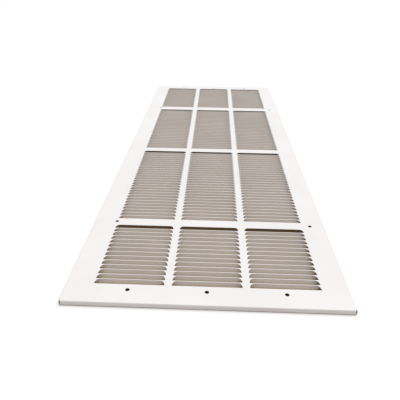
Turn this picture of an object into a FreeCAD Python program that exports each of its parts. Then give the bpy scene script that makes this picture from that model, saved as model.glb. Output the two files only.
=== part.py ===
import FreeCAD, Part
import os
import Sketcher

# Return-air grille: one white powder-coated steel sheet, lying face up.
# The face is pierced by four rows of lanced louvres in three banks, and its four
# edges are folded down into a rim. Each louvre is a flap cut free on three sides,
# hinged on its near edge and bent square down, so the sheet stays one piece.
# X runs across the face, Y along its length from the end nearest the viewer,
# Z up. The origin is below the middle of the face, at the flaps' lowest edge.
# All lengths are in millimetres.

SIZES = {
    "sheet_gauge": 0.76,
    "rim_depth": 6.35,
    "bend_radius": 1.5,
    "corner_gap": 1.2,
    "bank_width": 87.7,
    "bank_count": 3,
    "mullion_width": 9.0,
    "side_margin": 34.075,
    "near_margin": 32.2,
    "far_margin": 31.65,
    "louvre_pitch": 9.35,
    "slot_width": 8.0,
    "flap_depth": 7.45,
    "end_taper": 5.5,
    "count_first": 14,
    "count_second": 28,
    "count_third": 28,
    "count_fourth": 20,
    "rib_first": 18.25,
    "rib_second": 17.05,
    "rib_third": 23.6,
    "hole_diameter": 5.56,
    "end_hole_inset": 22.2,
    "left_hole_inset": 33.5,
    "right_hole_inset": 22.2,
}

PART_NODE = "grille_panel"
ROWS = ("first", "second", "third", "fourth")
PARTS_FOLDER = "parts"
SAME_PLACE = 1e-4
THROUGH_SHEET = "2 * Sizes.sheet_gauge"

doc = FreeCAD.newDocument("return_air_grille")
sheet = doc.addObject("Spreadsheet::Sheet", "Sizes")
for line, (alias, value) in enumerate(SIZES.items(), start=1):
    sheet.set(f"A{line}", alias)
    sheet.set(f"B{line}", str(value))
    sheet.setAlias(f"B{line}", alias)
doc.recompute()


def size(alias):
    """The sheet's name for one size, for use inside an expression."""
    return f"Sizes.{alias}"


def row_length(row):
    """Length of one louvred row, from its first hinge to its last slot's far edge."""
    return f"(({size('count_' + row)} - 1) * {size('louvre_pitch')} + {size('slot_width')})"


# Places that several features share, each worked out from the sheet.
BANKS_WIDTH = (f"({size('bank_count')} * {size('bank_width')}"
               f" + ({size('bank_count')} - 1) * {size('mullion_width')})")
FACE_WIDTH = f"({BANKS_WIDTH} + 2 * {size('side_margin')})"
ROWS_LENGTH = "(" + " + ".join([row_length(row) for row in ROWS]
                               + [size("rib_" + row) for row in ROWS[:-1]]) + ")"
FACE_LENGTH = f"({ROWS_LENGTH} + {size('near_margin')} + {size('far_margin')})"
FACE_TOP = f"max({size('rim_depth')}; {size('flap_depth')})"
NEAR_EDGE = f"(-{FACE_LENGTH} / 2)"
FAR_EDGE = f"({FACE_LENGTH} / 2)"
LEFT_EDGE = f"(-{FACE_WIDTH} / 2)"
RIGHT_EDGE = f"({FACE_WIDTH} / 2)"
FIRST_HINGE = f"({NEAR_EDGE} + {size('near_margin')})"


def row_start(row):
    """Y of a row's first hinge line."""
    before = ROWS[:ROWS.index(row)]
    steps = [row_length(name) + " + " + size("rib_" + name) for name in before]
    return " + ".join([FIRST_HINGE] + steps)


def rib_middle(row):
    """Y of the middle of the plain rib that follows a row."""
    return f"({row_start(row)} + {row_length(row)} + {size('rib_' + row)} / 2)"


folded = doc.addObject("PartDesign::Body", "folded_sheet")
ORIGIN = {item.Role: item for item in folded.Origin.OriginFeatures}


def number(expression):
    """The present value of an expression on the sheet."""
    value = folded.evalExpression(expression)
    return float(getattr(value, "Value", value))


def new_sketch(name, plane, offset):
    """An empty sketch on one of the body's planes, moved along the plane's normal."""
    sketch = folded.newObject("Sketcher::SketchObject", name)
    sketch.AttachmentSupport = [(ORIGIN[plane], "")]
    sketch.MapMode = "FlatFace"
    sketch.setExpression("AttachmentOffset.Base.z", offset)
    return sketch


def pin_point(sketch, geometry, position, place):
    """Ties one point of a sketch to a pair of expressions."""
    for kind, expression in zip(("DistanceX", "DistanceY"), place):
        datum = Sketcher.Constraint(kind, geometry, position, number(expression))
        sketch.setExpression(f"Constraints[{sketch.addConstraint(datum)}]", expression)


def add_outline(sketch, corners):
    """Draws a closed outline of straight lines through corners given as expressions."""
    points = [FreeCAD.Vector(number(across), number(along), 0) for across, along in corners]
    first = sketch.GeometryCount
    for point, following in zip(points, points[1:] + points[:1]):
        sketch.addGeometry(Part.LineSegment(point, following), False)
    for step, corner in enumerate(corners):
        previous = first + (step - 1) % len(corners)
        sketch.addConstraint(Sketcher.Constraint("Coincident", previous, 2, first + step, 1))
        pin_point(sketch, first + step, 1, corner)


def add_circle(sketch, centre, diameter):
    """Draws a circle whose centre and diameter are expressions."""
    middle = FreeCAD.Vector(number(centre[0]), number(centre[1]), 0)
    circle = Part.Circle(middle, FreeCAD.Vector(0, 0, 1), number(diameter) / 2)
    index = sketch.addGeometry(circle, False)
    pin_point(sketch, index, 3, centre)
    datum = Sketcher.Constraint("Diameter", index, number(diameter))
    sketch.setExpression(f"Constraints[{sketch.addConstraint(datum)}]", diameter)


def rectangle(left, near, right, far):
    """Corners of a rectangle, in order round it."""
    return [(left, near), (right, near), (right, far), (left, far)]


def pad_down(name, sketch, length):
    """Adds a sketch's outline as solid below it, to a depth given as an expression."""
    feature = folded.newObject("PartDesign::Pad", name)
    feature.Profile = sketch
    feature.Reversed = True
    feature.setExpression("Length", length)
    doc.recompute()
    return feature


def cut_down(name, sketch, length):
    """Cuts a sketch's outline away below it, to a depth given as an expression."""
    before = folded.Shape.Volume
    feature = folded.newObject("PartDesign::Pocket", name)
    feature.Profile = sketch
    feature.setExpression("Length", length)
    doc.recompute()
    if not feature.Shape.Volume < before:
        raise RuntimeError(f"{name} cuts nothing")
    return feature


def outline_edges(shape, height, width, length):
    """Names of the edges that run round a rectangle of this size at one height."""
    names = []
    for index, edge in enumerate(shape.Edges, start=1):
        middle = edge.CenterOfMass
        level = abs(middle.z - height) < SAME_PLACE and edge.BoundBox.ZLength < SAME_PLACE
        on_side = abs(abs(middle.x) - width / 2) < SAME_PLACE
        on_end = abs(abs(middle.y) - length / 2) < SAME_PLACE
        if level and (on_side or on_end):
            names.append(f"Edge{index}")
    return names


def round_edges(name, base, edge_names, radius):
    """Rounds edges of the feature below to a radius given as an expression."""
    feature = folded.newObject("PartDesign::Fillet", name)
    feature.Base = (base, edge_names)
    feature.setExpression("Radius", radius)
    doc.recompute()
    return feature


def fold_pan():
    """The face with its rim folded down all round, before anything is pierced."""
    outside = new_sketch("face_outline", "XY_Plane", FACE_TOP)
    add_outline(outside, rectangle(LEFT_EDGE, NEAR_EDGE, RIGHT_EDGE, FAR_EDGE))
    blank = pad_down("blank", outside, size("rim_depth"))
    edges = outline_edges(blank.Shape, number(FACE_TOP), number(FACE_WIDTH), number(FACE_LENGTH))
    round_edges("outside_bend", blank, edges, size("bend_radius"))
    gauge = size("sheet_gauge")
    inside = new_sketch("inside_outline", "XY_Plane", f"{FACE_TOP} - {gauge}")
    add_outline(inside, rectangle(f"{LEFT_EDGE} + {gauge}", f"{NEAR_EDGE} + {gauge}",
                                  f"{RIGHT_EDGE} - {gauge}", f"{FAR_EDGE} - {gauge}"))
    hollow = cut_down("hollow", inside, size("rim_depth"))
    edges = outline_edges(hollow.Shape, number(FACE_TOP) - number(gauge),
                          number(FACE_WIDTH) - 2 * number(gauge),
                          number(FACE_LENGTH) - 2 * number(gauge))
    round_edges("inside_bend", hollow, edges, f"{size('bend_radius')} - {gauge}")


def open_corners():
    """The open seam at each corner, where an end rim stops short of the side rim unwelded.

    The blank is notched there, so the seam goes up through the bend to the face.
    """
    gauge = size("sheet_gauge")
    reach = f"({gauge} + {size('corner_gap')})"
    seams = new_sketch("corner_seams", "XY_Plane", FACE_TOP)
    for left, right in ((f"{LEFT_EDGE} + {gauge}", f"{LEFT_EDGE} + {reach}"),
                        (f"{RIGHT_EDGE} - {reach}", f"{RIGHT_EDGE} - {gauge}")):
        for near, far in ((NEAR_EDGE, f"{NEAR_EDGE} + {reach}"), (f"{FAR_EDGE} - {reach}", FAR_EDGE)):
            add_outline(seams, rectangle(left, near, right, far))
    cut_down("open_seams", seams, size("rim_depth"))


def screw_holes():
    """Plain round screw holes: three at each end and two along each side."""
    bank_step = f"({size('bank_width')} + {size('mullion_width')})"
    rims = new_sketch("hole_circles", "XY_Plane", FACE_TOP)
    for step in range(-1, 2):
        for along in (f"{NEAR_EDGE} + {size('end_hole_inset')}", f"{FAR_EDGE} - {size('end_hole_inset')}"):
            add_circle(rims, (f"{step} * {bank_step}", along), size("hole_diameter"))
    for row in ("first", "third"):
        for across in (f"{LEFT_EDGE} + {size('left_hole_inset')}", f"{RIGHT_EDGE} - {size('right_hole_inset')}"):
            add_circle(rims, (across, rib_middle(row)), size("hole_diameter"))
    cut_down("screw_holes", rims, THROUGH_SHEET)


def window_corners(row, bank):
    """The window in the folded sheet that one louvred panel of one row and bank fills."""
    frame = f"({size('louvre_pitch')} - {size('slot_width')})"
    left = f"(-{BANKS_WIDTH} / 2 + {bank} * ({size('bank_width')} + {size('mullion_width')}))"
    return rectangle(f"{left} - {frame}", f"{row_start(row)} - {frame}",
                     f"{left} + {size('bank_width')} + {frame}",
                     f"{row_start(row)} + {row_length(row)} + {frame}")


def louvre_windows():
    """Cuts the windows that the louvred panels fill, one for each row and bank."""
    windows = new_sketch("window_outlines", "XY_Plane", FACE_TOP)
    for row in ROWS:
        for bank in range(int(number(size("bank_count")))):
            add_outline(windows, window_corners(row, bank))
    cut_down("louvre_windows", windows, THROUGH_SHEET)


def slab(corners, way):
    """A flat-sided solid: a plane outline carried along a vector."""
    outline = Part.makePolygon(corners + corners[:1])
    return Part.Face(outline).extrude(way)


def louvred_panel(row):
    """One bank of one row: its lands, its slots and the flap bent down from each slot.

    Each slot narrows away from its hinge by the taper at either end. Its flap hangs
    square from the hinge and narrows by the same taper on its way down.
    """
    gauge, top = number(size("sheet_gauge")), number(FACE_TOP)
    width, slot_width = number(size("bank_width")), number(size("slot_width"))
    drop, pitch = number(size("flap_depth")), number(size("louvre_pitch"))
    left, first_hinge = -number(BANKS_WIDTH) / 2, number(row_start(row))
    (x_low, y_low), _, (x_high, y_high), _ = [
        (number(across), number(along)) for across, along in window_corners(row, 0)]
    lands = Part.makeBox(x_high - x_low, y_high - y_low, gauge,
                         FreeCAD.Vector(x_low, y_low, top - gauge))
    ends = (left, left + width)
    narrowed = (left + width - number(size("end_taper")), left + number(size("end_taper")))
    slots, flaps = [], []
    for step in range(int(number(size("count_" + row)))):
        hinge = first_hinge + step * pitch
        opening = ([FreeCAD.Vector(across, hinge, top) for across in ends]
                   + [FreeCAD.Vector(across, hinge + slot_width, top) for across in narrowed])
        hanging = ([FreeCAD.Vector(across, hinge, top) for across in ends]
                   + [FreeCAD.Vector(across, hinge, top - drop) for across in narrowed])
        slots.append(slab(opening, FreeCAD.Vector(0, 0, -gauge)))
        flaps.append(slab(hanging, FreeCAD.Vector(0, -gauge, 0)))
    return lands.cut(slots).fuse(flaps)


def louvred_panels():
    """Every louvred panel, each row's modelled once and repeated across the banks."""
    bank_step = number(f"{size('bank_width')} + {size('mullion_width')}")
    panels = []
    for row in ROWS:
        panel = louvred_panel(row)
        for bank in range(int(number(size("bank_count")))):
            panels.append(panel.translated(FreeCAD.Vector(bank * bank_step, 0, 0)))
    return panels


fold_pan()
open_corners()
screw_holes()
louvre_windows()

# The panels fill their windows and lie flush with the sheet, so all becomes one piece.
grille = doc.addObject("Part::Feature", PART_NODE)
grille.Label = PART_NODE
grille.Shape = Part.Shape(folded.Shape).multiFuse(louvred_panels()).removeSplitter()
grille.Placement = FreeCAD.Placement()
doc.recompute()

for item in doc.Objects:
    if "Invalid" in item.State or "Error" in item.State:
        raise RuntimeError(f"{item.Label} did not compute: {item.State}")
if grille.Shape.isNull() or not grille.Shape.isValid() or len(grille.Shape.Solids) != 1:
    raise RuntimeError("the sheet is not one valid solid")

os.makedirs(PARTS_FOLDER, exist_ok=True)
grille.Shape.Solids[0].exportStep(os.path.join(PARTS_FOLDER, f"{grille.Label}.step"))
box = grille.Shape.BoundBox
print(f"{grille.Label}: {box.XLength:.2f} x {box.YLength:.2f} x {box.ZLength:.2f} mm,"
      f" {grille.Shape.Volume:.0f} mm3, {len(grille.Shape.Faces)} faces")
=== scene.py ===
"""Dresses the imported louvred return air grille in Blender: the folded sheet, its coat and the studio.

The sheet is modelled in millimetres, with its upper face at height 0, and is brought to metres and to its
place in the CAD frame at the end. It replaces the plain CAD sheet and has the same sizes, with folds that
have a radius and louvre ends that are rounded.
"""

import logging
import math
from dataclasses import dataclass
from enum import Enum
from typing import Callable, Sequence

import bmesh
import bpy
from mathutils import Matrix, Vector


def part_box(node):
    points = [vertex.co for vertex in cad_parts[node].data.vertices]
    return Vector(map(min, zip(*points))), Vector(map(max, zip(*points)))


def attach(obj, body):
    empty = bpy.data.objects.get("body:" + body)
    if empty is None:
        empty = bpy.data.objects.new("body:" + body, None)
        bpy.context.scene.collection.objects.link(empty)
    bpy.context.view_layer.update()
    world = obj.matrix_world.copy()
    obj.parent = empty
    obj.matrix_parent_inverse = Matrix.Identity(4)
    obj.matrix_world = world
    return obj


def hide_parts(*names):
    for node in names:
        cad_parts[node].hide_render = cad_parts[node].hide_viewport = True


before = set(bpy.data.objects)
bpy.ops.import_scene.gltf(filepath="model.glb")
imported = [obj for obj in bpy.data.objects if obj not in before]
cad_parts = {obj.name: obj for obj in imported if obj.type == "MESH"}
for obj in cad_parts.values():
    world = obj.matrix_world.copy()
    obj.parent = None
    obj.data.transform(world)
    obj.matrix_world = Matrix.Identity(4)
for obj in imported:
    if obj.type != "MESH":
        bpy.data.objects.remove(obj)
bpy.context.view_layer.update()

LOG = logging.getLogger("grille")
METRES_PER_MM = 0.001
CLOSE_MM = 0.02
LEVEL_NORMAL = 0.9

Node = bpy.types.Node
Piece = bpy.types.Object
Link = tuple[Node, str]
Test = Callable[[Vector], bool]


class Element(Enum):
    """What an edit mode selection is made of."""

    VERTEX = "VERT"
    EDGE = "EDGE"
    FACE = "FACE"


@dataclass(frozen=True)
class LouvreRow:
    """One crosswise row of louvres.

    Args:
        start: Place of the first fold line along the grille, in mm.
        count: Slots in each bank of the row.
    """

    start: float
    count: int


class Row(Enum):
    """The four rows, from the end that is near the camera."""

    FIRST = LouvreRow(start=-447.225, count=14)
    SECOND = LouvreRow(start=-299.425, count=28)
    THIRD = LouvreRow(start=-21.925, count=28)
    FOURTH = LouvreRow(start=262.125, count=20)


def linear_colour(hex_code: str) -> tuple[float, float, float, float]:
    """Turns an sRGB hex colour to the linear colour that shaders take.

    Args:
        hex_code: Six hex digits, such as "efedea".

    Returns:
        Linear red, green, blue and an alpha of 1.
    """
    channels = [int(hex_code[start:start + 2], 16) / 255 for start in (0, 2, 4)]
    red, green, blue = (c / 12.92 if c <= 0.04045 else ((c + 0.055) / 1.055) ** 2.4 for c in channels)
    return red, green, blue, 1.0


def add_node(tree: bpy.types.NodeTree, kind: str, settings: dict[str, object] | None = None,
             inputs: dict[str, object] | None = None) -> Node:
    """Adds a shader node with its settings and its inputs.

    Args:
        tree: Node tree that the node joins.
        kind: Blender's name for the node type.
        settings: Properties of the node itself.
        inputs: Values of its sockets, or a (node, output name) pair to link from.

    Returns:
        The new node.
    """
    node = tree.nodes.new(kind)
    for name, value in (settings or {}).items():
        setattr(node, name, value)
    for name, value in (inputs or {}).items():
        socket = node.inputs[int(name)] if name.isdigit() else node.inputs[name]
        if isinstance(value, tuple) and isinstance(value[0], Node):
            tree.links.new(value[0].outputs[value[1]], socket)
        else:
            socket.default_value = value
    return node


def new_material(name: str) -> tuple[bpy.types.Material, bpy.types.NodeTree]:
    """Makes an empty node material.

    Args:
        name: Name of the real material.

    Returns:
        The material and its node tree, with no nodes in it.
    """
    material = bpy.data.materials.new(name)
    material.use_nodes = True
    material.node_tree.nodes.clear()
    return material, material.node_tree


def seen_directly(tree: bpy.types.NodeTree) -> Link:
    """Adds the nodes that tell what the camera sees from what only lights the grille.

    Args:
        tree: Node tree that the nodes join.

    Returns:
        The node and output that give 1 for the camera, its mirror images and its views through glass.
    """
    path = add_node(tree, "ShaderNodeLightPath")
    mirrored = add_node(tree, "ShaderNodeMath", {"operation": "MAXIMUM"},
                        {"0": (path, "Is Camera Ray"), "1": (path, "Is Glossy Ray")})
    direct = add_node(tree, "ShaderNodeMath", {"operation": "MAXIMUM"},
                      {"0": (mirrored, "Value"), "1": (path, "Is Transmission Ray")})
    return direct, "Value"


@dataclass(frozen=True)
class PowderCoat:
    """White polyester powder coat, sprayed on and stoved: a semi-gloss film with a faint orange peel.

    Args:
        name: Name of the material.
        colour: Colour where the film is thick.
        thin_colour: Colour where the film is thin.
        thin_at: Noise level up to which the film is thin.
        thick_at: Noise level from which the film is thick.
        roughness: Mean roughness of the film.
        roughness_spread: How far the roughness strays from its mean.
        film_ior: Index of refraction of the film.
        peel_mm: Length of the orange peel's waves.
        peel_height_mm: Height of those waves.
        peel_detail: Octaves of noise in those waves.
        peel_strength: Share of the waves' slope that shows.
        drift_mm: Length over which the film's thickness changes.
        drift_detail: Octaves of noise in that change.
    """

    name: str = "white_powder_coated_steel"
    colour: str = "f2efef"
    thin_colour: str = "eeebea"
    thin_at: float = 0.35
    thick_at: float = 0.6
    roughness: float = 0.38
    roughness_spread: float = 0.06
    film_ior: float = 1.5
    peel_mm: float = 2.5
    peel_height_mm: float = 0.02
    peel_detail: float = 2.0
    peel_strength: float = 0.5
    drift_mm: float = 90.0
    drift_detail: float = 3.0

    def make(self) -> bpy.types.Material:
        """Builds the coat's node material.

        Returns:
            The material.
        """
        material, tree = new_material(self.name)
        place = add_node(tree, "ShaderNodeTexCoord")
        # A film of stoved powder is a little thicker here and thinner there, over a hand's breadth
        drift = add_node(tree, "ShaderNodeTexNoise", inputs={
            "Vector": (place, "Object"), "Scale": 1 / (self.drift_mm * METRES_PER_MM),
            "Detail": self.drift_detail})
        tone = add_node(tree, "ShaderNodeValToRGB", inputs={"Fac": (drift, "Fac")})
        ends = ((self.thin_at, self.thin_colour), (self.thick_at, self.colour))
        for element, (position, colour) in zip(tone.color_ramp.elements, ends):
            element.position = position
            element.color = linear_colour(colour)
        # Orange peel has waves one to three millimetres long and a few hundredths high
        peel = add_node(tree, "ShaderNodeTexNoise", inputs={
            "Vector": (place, "Object"), "Scale": 1 / (self.peel_mm * METRES_PER_MM),
            "Detail": self.peel_detail})
        waves = add_node(tree, "ShaderNodeBump", inputs={
            "Height": (peel, "Fac"), "Strength": self.peel_strength,
            "Distance": self.peel_height_mm * METRES_PER_MM})
        gloss = add_node(tree, "ShaderNodeMapRange", inputs={
            "Value": (drift, "Fac"), "To Min": self.roughness + self.roughness_spread,
            "To Max": self.roughness - self.roughness_spread})
        coat = add_node(tree, "ShaderNodeBsdfPrincipled", inputs={
            "Base Color": (tone, "Color"), "Roughness": (gloss, "Result"), "Normal": (waves, "Normal"),
            "IOR": self.film_ior, "Metallic": 0.0})
        add_node(tree, "ShaderNodeOutputMaterial", inputs={"Surface": (coat, "BSDF")})
        return material


@dataclass(frozen=True)
class StudioFloorPaint:
    """Matt studio floor: white to the camera, with pale wood under the grille that shows through its slots.

    Args:
        name: Name of the material.
        seen_colour: Colour that the camera sees round the grille.
        thrown_colour: Colour that the floor gives to the light on the grille.
        covered_colour: Colour of the wood under the grille.
        covered_half: Half the width and length of the covered part, in metres.
    """

    name: str = "matt_studio_floor"
    seen_colour: str = "fefefe"
    thrown_colour: str = "bbb0a9"
    covered_colour: str = "b29b79"
    covered_half: tuple[float, float] = (0.1736, 0.4784)

    def make(self) -> bpy.types.Material:
        """Builds the floor's node material.

        Returns:
            The material.
        """
        material, tree = new_material(self.name)
        seen, thrown, wood = (self.matt(tree, colour) for colour in
                              (self.seen_colour, self.thrown_colour, self.covered_colour))
        round_it = add_node(tree, "ShaderNodeMixShader", inputs={
            "0": seen_directly(tree), "1": thrown, "2": seen})
        whole = add_node(tree, "ShaderNodeMixShader", inputs={
            "0": self.covered(tree), "1": (round_it, "Shader"), "2": wood})
        add_node(tree, "ShaderNodeOutputMaterial", inputs={"Surface": (whole, "Shader")})
        return material

    def matt(self, tree: bpy.types.NodeTree, colour: str) -> Link:
        """Adds a matt surface of one hex colour."""
        return add_node(tree, "ShaderNodeBsdfDiffuse", inputs={"Color": linear_colour(colour)}), "BSDF"

    def covered(self, tree: bpy.types.NodeTree) -> Link:
        """Adds the nodes that tell the covered part of the floor from the rest.

        Args:
            tree: Node tree of the floor.

        Returns:
            The node and output that give 1 under the grille and 0 elsewhere.
        """
        inside = [self.within(tree, axis, half) for axis, half in zip("XY", self.covered_half)]
        both = add_node(tree, "ShaderNodeMath", {"operation": "MULTIPLY"}, {"0": inside[0], "1": inside[1]})
        return both, "Value"

    def within(self, tree: bpy.types.NodeTree, axis: str, half: float) -> Link:
        """Adds the nodes that tell a strip along the floor's middle from the rest.

        Args:
            tree: Node tree of the floor.
            axis: Axis across the strip, X or Y.
            half: Half the strip's width, in metres.

        Returns:
            The node and output that give 1 in the strip and 0 outside it.
        """
        place = add_node(tree, "ShaderNodeTexCoord")
        axes = add_node(tree, "ShaderNodeSeparateXYZ", inputs={"Vector": (place, "Object")})
        off = add_node(tree, "ShaderNodeMath", {"operation": "ABSOLUTE"}, {"0": (axes, axis)})
        strip = add_node(tree, "ShaderNodeMath", {"operation": "LESS_THAN"},
                         {"0": (off, "Value"), "1": half})
        return strip, "Value"


def nothing_selected() -> None:
    """Leaves every object deselected, in object mode."""
    if bpy.context.object and bpy.context.object.mode != "OBJECT":
        bpy.ops.object.mode_set(mode="OBJECT")
    bpy.ops.object.select_all(action="DESELECT")


def make_active(piece: Piece) -> None:
    """Selects one piece alone and makes it the active one.

    Args:
        piece: Object to work on.
    """
    nothing_selected()
    piece.select_set(True)
    bpy.context.view_layer.objects.active = piece


def pick(kind: Element, where: Test) -> None:
    """Selects, in edit mode, the elements whose corners all pass a test of place.

    Args:
        kind: Vertices, edges or faces.
        where: Test of one corner's place.
    """
    bpy.ops.mesh.select_mode(type=kind.value)
    bpy.ops.mesh.select_all(action="DESELECT")
    shell = bmesh.from_edit_mesh(bpy.context.object.data)
    elements = {Element.VERTEX: shell.verts, Element.EDGE: shell.edges, Element.FACE: shell.faces}[kind]
    for element in elements:
        corners = [element] if kind is Element.VERTEX else element.verts
        if all(where(corner.co) for corner in corners):
            element.select_set(True)
    bmesh.update_edit_mesh(bpy.context.object.data)


def pick_largest(where: Test) -> None:
    """Selects, in edit mode, the largest of the faces whose corners all pass a test of place.

    Args:
        where: Test of one corner's place.
    """
    pick(Element.FACE, where)
    shell = bmesh.from_edit_mesh(bpy.context.object.data)
    largest = max((face for face in shell.faces if face.select), key=lambda face: face.calc_area())
    bpy.ops.mesh.select_all(action="DESELECT")
    largest.select_set(True)
    bmesh.update_edit_mesh(bpy.context.object.data)


def near(value: float, target: float) -> bool:
    """Tells whether two lengths in mm are the same but for rounding."""
    return abs(value - target) < CLOSE_MM


def push_out(step: Sequence[float]) -> None:
    """Extrudes the selected edges by a step in mm."""
    bpy.ops.mesh.extrude_region_move(TRANSFORM_OT_translate={"value": tuple(step)})


def apply_modifier(piece: Piece, kind: str, **settings: object) -> None:
    """Adds a modifier to a piece and applies it.

    Args:
        piece: Object that takes the modifier.
        kind: Blender's name for the modifier type.
        **settings: Properties of the modifier.
    """
    make_active(piece)
    modifier = piece.modifiers.new(kind.lower(), kind)
    for name, value in settings.items():
        setattr(modifier, name, value)
    bpy.ops.object.modifier_apply(modifier=modifier.name)


@dataclass
class Louvre:
    """One slot, the strip of sheet beyond it, and its flap, which is folded down at the slot's near edge.

    Args:
        width: Length of the fold line.
        pitch: From one fold line to the next.
        opening: Width of the slot.
        taper: How far the rounded ends bring the far edge in.
        flap_length: Flat part of the flap, below the fold.
        bend: Angle through which the flap is folded, in degrees.
        fold_radius: Radius of the fold on its upper side.
        end_steps: Straight runs in a rounded end.
        fold_steps: Flat runs in the fold.
    """

    width: float = 87.7
    pitch: float = 9.35
    opening: float = 8.0
    taper: float = 5.5
    flap_length: float = 6.65
    bend: float = 90.0
    fold_radius: float = 0.8
    end_steps: int = 4
    fold_steps: int = 3

    def make(self) -> Piece:
        """Models the louvre with its fold line on the x axis, from x = 0.

        Returns:
            The louvre as a mesh one face thick.
        """
        nothing_selected()
        bpy.ops.mesh.primitive_plane_add(size=1.0)
        piece = bpy.context.object
        piece.name = "louvre"
        bpy.ops.object.mode_set(mode="EDIT")
        self.cut_outline()
        self.add_end_corners()
        self.add_land()
        self.open_slot()
        self.fold_flap()
        self.join_gap()
        bpy.ops.object.mode_set(mode="OBJECT")
        return piece

    def on_fold(self, turned: float) -> tuple[float, float]:
        """Gives a place on the upper side of the fold.

        Args:
            turned: Angle from where the fold begins, in radians.

        Returns:
            How far along the grille and how high that place is.
        """
        return self.fold_radius * (math.sin(turned) - 1), self.fold_radius * (math.cos(turned) - 1)

    def drop(self, gauge: float) -> float:
        """Gives how far the flap's lowest edge is below the upper face.

        Args:
            gauge: Thickness of the sheet.

        Returns:
            That depth.
        """
        bend = math.radians(self.bend)
        return (gauge * math.cos(bend) + self.flap_length * math.sin(bend)
                - self.on_fold(bend)[1])

    def cut_outline(self) -> None:
        """Shapes the plane to the slot, with its two far corners rounded to quarter ellipses."""
        bpy.ops.mesh.select_all(action="SELECT")
        bpy.ops.transform.resize(value=(self.width, self.taper, 1.0), center_override=(0, 0, 0))
        bpy.ops.transform.translate(value=(self.width / 2, self.taper / 2, 0))
        pick(Element.VERTEX, lambda place: near(place.y, self.taper))
        bpy.ops.mesh.bevel(offset=self.taper, offset_type="OFFSET", segments=self.end_steps, profile=0.5,
                           affect="VERTICES", clamp_overlap=False)
        bpy.ops.mesh.select_all(action="SELECT")
        bpy.ops.mesh.remove_doubles(threshold=CLOSE_MM)
        bpy.ops.mesh.select_all(action="SELECT")
        bpy.ops.transform.resize(value=(1.0, self.opening / self.taper, 1.0), center_override=(0, 0, 0))

    def add_end_corners(self) -> None:
        """Fills the sheet's corner outside each rounded end with a fan of small faces."""
        ends: tuple[tuple[float, Test], ...] = (
            (0.0, lambda place: place.x < self.taper + CLOSE_MM),
            (self.width, lambda place: place.x > self.width - self.taper - CLOSE_MM))
        for corner, beside in ends:
            pick(Element.EDGE, beside)
            push_out((0, 0, 0))
            bpy.ops.transform.resize(value=(0, 0, 0), center_override=(corner, self.opening, 0))
            bpy.ops.mesh.remove_doubles(threshold=CLOSE_MM)

    def add_land(self) -> None:
        """Extends the sheet from the slot's far edge to where the next fold begins."""
        far = self.pitch - self.fold_radius
        pick(Element.EDGE, lambda place: near(place.y, self.opening))
        push_out((0, far - self.opening, 0))
        pick(Element.VERTEX, lambda place: near(place.y, far)
             and CLOSE_MM < place.x < self.width - CLOSE_MM)
        bpy.ops.mesh.dissolve_verts()

    def open_slot(self) -> None:
        """Turns the slot's blank into the flat part of the flap, hung below the fold."""
        pick_largest(lambda place: True)
        bpy.ops.mesh.duplicate()
        bend = math.radians(self.bend)
        shortened = self.flap_length / self.opening
        bpy.ops.transform.resize(value=(1.0, shortened, 1.0), center_override=(0, 0, 0))
        bpy.ops.transform.rotate(value=bend, orient_axis="X", center_override=(0, 0, 0))
        bpy.ops.transform.translate(value=(0, *self.on_fold(bend)))
        pick_largest(lambda place: near(place.z, 0))
        bpy.ops.mesh.delete(type="FACE")

    def fold_flap(self) -> None:
        """Rounds the fold, from the flap's upper edge up and back to the flat sheet."""
        bend = math.radians(self.bend)
        along, height = self.on_fold(bend)
        pick(Element.EDGE, lambda place: near(place.y, along) and near(place.z, height))
        for step in reversed(range(self.fold_steps)):
            next_along, next_height = self.on_fold(bend * step / self.fold_steps)
            push_out((0, next_along - along, next_height - height))
            along, height = next_along, next_height

    def join_gap(self) -> None:
        """Adds the edge between the end of the fold and the corner of the slot, on both sides."""
        for side in (0.0, self.width):
            pick(Element.VERTEX, lambda place, side=side: near(place.x, side) and near(place.z, 0)
                 and -self.fold_radius - CLOSE_MM < place.y < CLOSE_MM)
            bpy.ops.mesh.edge_face_add()


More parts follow.
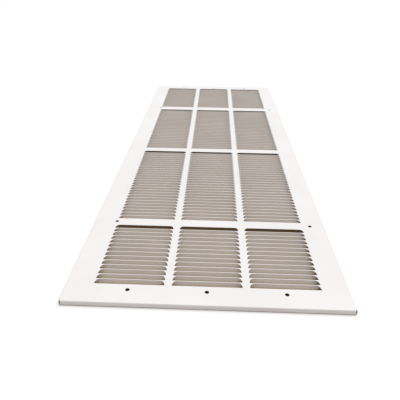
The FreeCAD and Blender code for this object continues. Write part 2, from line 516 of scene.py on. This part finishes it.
@dataclass
class FoldedSheet:
    """The whole grille: louvred banks, flat border and ribs, rims folded down, and screw holes.

    Args:
        louvre: The louvre that every bank repeats.
        banks: Banks side by side in a row.
        mullion: Width of the plain strip between banks.
        gauge: Thickness of the sheet.
        bend_radius: Outer radius of the bend to the rim.
        bend_steps: Flat runs in the bend.
        rim_depth: Depth of the rim below the upper face.
        corner_gap: Open seam between two rims, on top of the gauge.
        hole_diameter: Diameter of the screw holes.
        hole_sides: Straight runs round a hole.
        hole_places: Middles of the screw holes.
        smooth_degrees: Angle between faces up to which the shading runs on.
        flat_weight: How strongly large faces set the shading at their edges, out of 100.
    """

    louvre: Louvre
    banks: int = 3
    mullion: float = 9.0
    gauge: float = 0.76
    bend_radius: float = 1.5
    bend_steps: int = 5
    rim_depth: float = 6.35
    corner_gap: float = 1.2
    hole_diameter: float = 5.56
    hole_sides: int = 28
    hole_places: tuple[tuple[float, float], ...] = (
        (-96.7, -457.225), (0.0, -457.225), (96.7, -457.225),
        (-96.7, 457.225), (0.0, 457.225), (96.7, 457.225),
        (-141.125, -308.55), (152.425, -308.55), (-141.125, 250.325), (152.425, 250.325))
    smooth_degrees: float = 40.0
    flat_weight: int = 100

    def make(self, high: Vector) -> Piece:
        """Models the sheet inside the box of the CAD node that it replaces.

        Args:
            high: Highest corner of that box, in metres. Its middle is above the origin.

        Returns:
            The finished sheet, in metres and in its place.
        """
        half_width = high.x / METRES_PER_MM
        half_length = high.y / METRES_PER_MM
        top = self.louvre.drop(self.gauge)
        piece = self.lay_banks()
        seam = self.gauge + self.corner_gap
        self.fill_border(half_width - seam, half_length - seam)
        self.fold_rims(half_width, half_length)
        bpy.ops.mesh.select_all(action="SELECT")
        bpy.ops.mesh.normals_make_consistent(inside=False)
        bpy.ops.object.mode_set(mode="OBJECT")
        self.face_up(piece)
        apply_modifier(piece, "SOLIDIFY", thickness=self.gauge, offset=-1.0, use_even_offset=True,
                       use_quality_normals=True)
        # Applied as the object's scale, because a resize in edit mode rounds each place to 0.015 mm
        make_active(piece)
        piece.location = (0, 0, top * METRES_PER_MM)
        piece.scale = (METRES_PER_MM,) * 3
        bpy.ops.object.transform_apply(location=True, rotation=False, scale=True)
        bpy.ops.object.shade_smooth_by_angle(angle=math.radians(self.smooth_degrees))
        apply_modifier(piece, "WEIGHTED_NORMAL", keep_sharp=True, weight=self.flat_weight)
        piece.name = "grille_sheet"
        return piece

    def lay_banks(self) -> Piece:
        """Repeats the louvre along each row and across the banks, and joins the rows.

        Returns:
            The louvred banks, as one mesh.
        """
        rows: list[Piece] = []
        pattern = self.louvre.make()
        for row in Row:
            make_active(pattern)
            bpy.ops.object.duplicate()
            copy = bpy.context.object
            apply_modifier(copy, "ARRAY", count=row.value.count, use_relative_offset=False,
                           use_constant_offset=True, use_merge_vertices=True, merge_threshold=CLOSE_MM,
                           constant_offset_displace=(0, self.louvre.pitch, 0))
            apply_modifier(copy, "ARRAY", count=self.banks, use_relative_offset=False,
                           use_constant_offset=True,
                           constant_offset_displace=(self.louvre.width + self.mullion, 0, 0))
            bpy.ops.object.mode_set(mode="EDIT")
            bpy.ops.mesh.select_all(action="SELECT")
            bpy.ops.transform.translate(value=(self.left_edge(), row.value.start, 0))
            bpy.ops.object.mode_set(mode="OBJECT")
            rows.append(copy)
        bpy.data.objects.remove(pattern)
        make_active(rows[0])
        for row_piece in rows:
            row_piece.select_set(True)
        bpy.ops.object.join()
        LOG.info("louvred banks: %.1f mm across, %d faces", -2 * self.left_edge(), len(rows[0].data.polygons))
        return rows[0]

    def left_edge(self) -> float:
        """Gives the left end of the first bank's fold lines."""
        return -(self.banks * self.louvre.width + (self.banks - 1) * self.mullion) / 2

    def fill_border(self, half_width: float, half_length: float) -> None:
        """Adds the outline and the screw holes, and fills the flat sheet between them and the banks.

        Args:
            half_width: From the middle to the inner corners of the corner notches.
            half_length: The same along the grille.
        """
        bpy.ops.object.mode_set(mode="EDIT")
        bpy.ops.mesh.select_all(action="DESELECT")
        # A plane from -1 to 1, so that it is scaled by half its size
        bpy.ops.mesh.primitive_plane_add(size=2.0)
        bpy.ops.transform.resize(value=(half_width, half_length, 1.0), center_override=(0, 0, 0))
        bpy.ops.mesh.delete(type="ONLY_FACE")
        for x, y in self.hole_places:
            bpy.ops.mesh.select_all(action="DESELECT")
            bpy.ops.mesh.primitive_circle_add(vertices=self.hole_sides, radius=self.hole_diameter / 2,
                                              location=(x, y, 0), fill_type="NOTHING")
        self.pick_flat_border()
        bpy.ops.mesh.fill(use_beauty=True)

    def pick_flat_border(self) -> None:
        """Selects the outline, the holes and the outer edges of the banks, but no slot's own edges."""
        bpy.ops.mesh.select_mode(type="EDGE")
        bpy.ops.mesh.select_all(action="DESELECT")
        shell = bmesh.from_edit_mesh(bpy.context.object.data)
        step = self.louvre.width + self.mullion
        sides = [self.left_edge() + bank * step + end for bank in range(self.banks)
                 for end in (0.0, self.louvre.width)]
        lines = [row.value.start - self.louvre.fold_radius + length
                 for row in Row for length in (0.0, row.value.count * self.louvre.pitch)]
        for edge in shell.edges:
            ends = [vertex.co for vertex in edge.verts]
            flat = all(near(end.z, 0) for end in ends)
            open_edge = len(edge.link_faces) < 2
            wire = not edge.link_faces
            on_side = any(all(near(end.x, side) for end in ends) for side in sides)
            on_line = any(all(near(end.y, line) for end in ends) for line in lines)
            if flat and open_edge and (wire or on_side or on_line):
                edge.select_set(True)
        bmesh.update_edit_mesh(bpy.context.object.data)

    def fold_rims(self, half_width: float, half_length: float) -> None:
        """Bends the four rims down. The end rims stop short of the side rims, so a seam stays open.

        Args:
            half_width: From the middle to the outside of the side rims.
            half_length: From the middle to the outside of the end rims.
        """
        seam = self.gauge + self.corner_gap
        for axis, (half, other) in enumerate(((half_width, half_length), (half_length, half_width))):
            for side in (-1, 1):
                reached, level = half - seam, 0.0
                # The rims that are there already have ends on the same line, but further out
                pick(Element.EDGE, lambda place: near(place[axis], side * reached)
                     and abs(place[1 - axis]) < other - seam + CLOSE_MM)
                for step in range(self.bend_steps + 1):
                    turned = math.pi / 2 * step / self.bend_steps
                    next_reached = half - self.bend_radius * (1 - math.sin(turned))
                    next_level = -self.bend_radius * (1 - math.cos(turned))
                    move = [0.0, 0.0, next_level - level]
                    move[axis] = side * (next_reached - reached)
                    push_out(move)
                    reached, level = next_reached, next_level
                push_out((0, 0, -self.rim_depth - level))
            if axis == 0:
                self.lengthen_sides(half_width, half_length)

    def lengthen_sides(self, half_width: float, half_length: float) -> None:
        """Carries the side rims on past the notches to the corners.

        Args:
            half_width: From the middle to the outside of the side rims.
            half_length: From the middle to the outside of the end rims.
        """
        seam = self.gauge + self.corner_gap
        for end in (-1, 1):
            pick(Element.EDGE, lambda place: near(place.y, end * (half_length - seam))
                 and abs(place.x) > half_width - self.gauge)
            push_out((0, end * seam, 0))

    def face_up(self, piece: Piece) -> None:
        """Turns the sheet's faces over if its upper face points down.

        Args:
            piece: The sheet, one face thick.
        """
        widest = max((face for face in piece.data.polygons if abs(face.normal.z) > LEVEL_NORMAL),
                     key=lambda face: face.area)
        if widest.normal.z < 0:
            make_active(piece)
            bpy.ops.object.mode_set(mode="EDIT")
            bpy.ops.mesh.select_all(action="SELECT")
            bpy.ops.mesh.flip_normals()
            bpy.ops.object.mode_set(mode="OBJECT")


@dataclass
class Studio:
    """The floor, the soft light and the camera.

    Args:
        floor_size: Side of the square floor, in metres.
        sky_level: Strength of the even light from all round.
        key_level: Strength of the broad lamp overhead.
        key_spread: Angle that the broad lamp fills, in degrees.
        key_tilt: Turn of that lamp about x and y, in degrees.
        key_height: Height of that lamp, in metres.
        camera_place: Camera position, in metres.
        camera_turn: Camera rotation, in degrees.
        camera_lens: Focal length, in mm.
        camera_sensor: Width of the camera's sensor, in mm.
        camera_near: Distance from which the camera sees, in metres.
    """

    floor_size: float = 40.0
    sky_level: float = 0.55
    key_level: float = 1.6
    key_spread: float = 60.0
    key_tilt: tuple[float, float] = (-6.0, 15.0)
    key_height: float = 2.5
    camera_place: tuple[float, float, float] = (0.00271829, -0.8221067, 0.35196327)
    camera_turn: tuple[float, float, float] = (59.4638, -0.4586, 2.1704)
    camera_lens: float = 36.405
    camera_sensor: float = 36.0
    camera_near: float = 0.01

    def lay_floor(self) -> None:
        """Lays the floor at height 0."""
        nothing_selected()
        bpy.ops.mesh.primitive_plane_add(size=self.floor_size)
        floor = bpy.context.object
        floor.name = "studio_floor"
        floor.data.materials.append(StudioFloorPaint().make())

    def light(self) -> None:
        """Sets the even light from all round and the broad lamp overhead."""
        world = bpy.data.worlds.new("studio_air")
        world.use_nodes = True
        tree = world.node_tree
        tree.nodes.clear()
        strength = add_node(tree, "ShaderNodeMapRange", inputs={
            "Value": seen_directly(tree), "To Min": self.sky_level, "To Max": 1.0})
        air = add_node(tree, "ShaderNodeBackground", inputs={
            "Color": linear_colour("ffffff"), "Strength": (strength, "Result")})
        add_node(tree, "ShaderNodeOutputWorld", inputs={"Surface": (air, "Background")})
        bpy.context.scene.world = world
        nothing_selected()
        tilt = [math.radians(angle) for angle in self.key_tilt]
        bpy.ops.object.light_add(type="SUN", location=(0, 0, self.key_height), rotation=(*tilt, 0))
        lamp = bpy.context.object
        lamp.name = "broad_lamp"
        lamp.data.energy = self.key_level
        lamp.data.angle = math.radians(self.key_spread)

    def set_camera(self) -> None:
        """Stands the camera where the photograph was taken from."""
        nothing_selected()
        bpy.ops.object.camera_add(location=self.camera_place,
                                  rotation=tuple(math.radians(angle) for angle in self.camera_turn))
        camera = bpy.context.object
        camera.name = "photo_camera"
        camera.data.sensor_fit = "HORIZONTAL"
        camera.data.sensor_width = self.camera_sensor
        camera.data.lens = self.camera_lens
        camera.data.clip_start = self.camera_near
        camera.data.dof.use_dof = False
        bpy.context.scene.camera = camera


def main() -> None:
    """Builds the grille and the studio."""
    logging.basicConfig(level=logging.INFO, format="%(name)s: %(message)s")
    bpy.context.scene.view_settings.view_transform = "Standard"
    studio = Studio()
    studio.set_camera()
    _, high = (Vector(corner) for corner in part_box("grille_panel"))
    sheet = FoldedSheet(Louvre()).make(high)
    sheet.data.materials.clear()
    sheet.data.materials.append(PowderCoat().make())
    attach(sheet, "root")
    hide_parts("grille_panel")
    sheet.data.calc_loop_triangles()
    LOG.info("grille_sheet: %d faces, %d triangles", len(sheet.data.polygons),
             len(sheet.data.loop_triangles))
    studio.lay_floor()
    studio.light()


if __name__ == "__main__":
    main()
